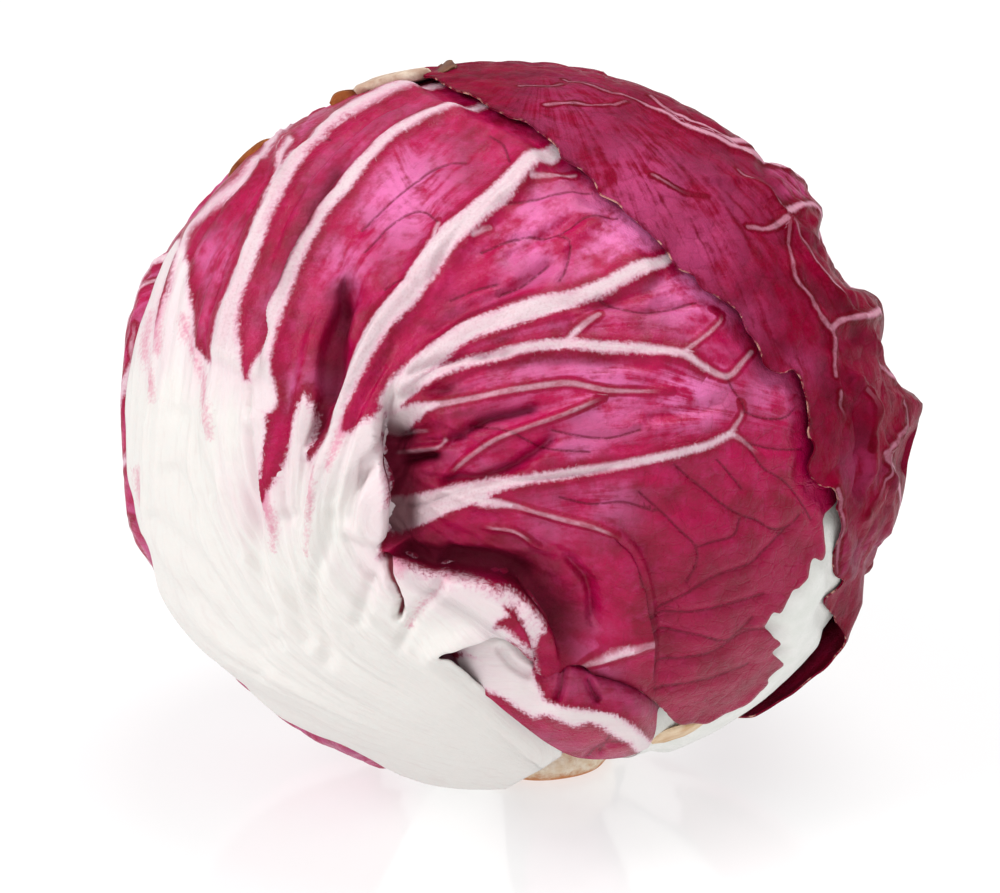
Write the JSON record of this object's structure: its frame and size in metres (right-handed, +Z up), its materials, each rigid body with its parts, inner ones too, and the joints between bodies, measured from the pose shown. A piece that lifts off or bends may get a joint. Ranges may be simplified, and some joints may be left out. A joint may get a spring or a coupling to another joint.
{
  "type": "radicchio",
  "caption": "Round head of red and white radicchio with lapped, ribbed leaves, standing on its cut stem",
  "frame": {"origin": "Middle of the stem's flat cut face, on the surface that the head stands on", "axes": "+Z up through the head, -Y towards the side that the picture shows, +X to the right of that view"},
  "size_m": [0.1281, 0.1258, 0.1149],
  "materials": {
    "front_leaf": "waxy magenta leaf blade with white ribs and a white base",
    "outer_leaf": "dull crimson leaf blade with pale pink ribs",
    "pale_leaf": "pale greenish white leaf, faintly pink",
    "cut_stem": "moist cut stem, beige with a brown rim"
  },
  "bodies": {
    "root": {"stem": "cut_stem", "heart": "pale_leaf", "leaf_front": "front_leaf", "leaf_right": "outer_leaf", "leaf_left": "front_leaf", "leaf_back": "outer_leaf", "leaf_small": "front_leaf", "leaf_lower_right": "pale_leaf", "leaf_crown": "pale_leaf"}
  },
  "joints": []
}
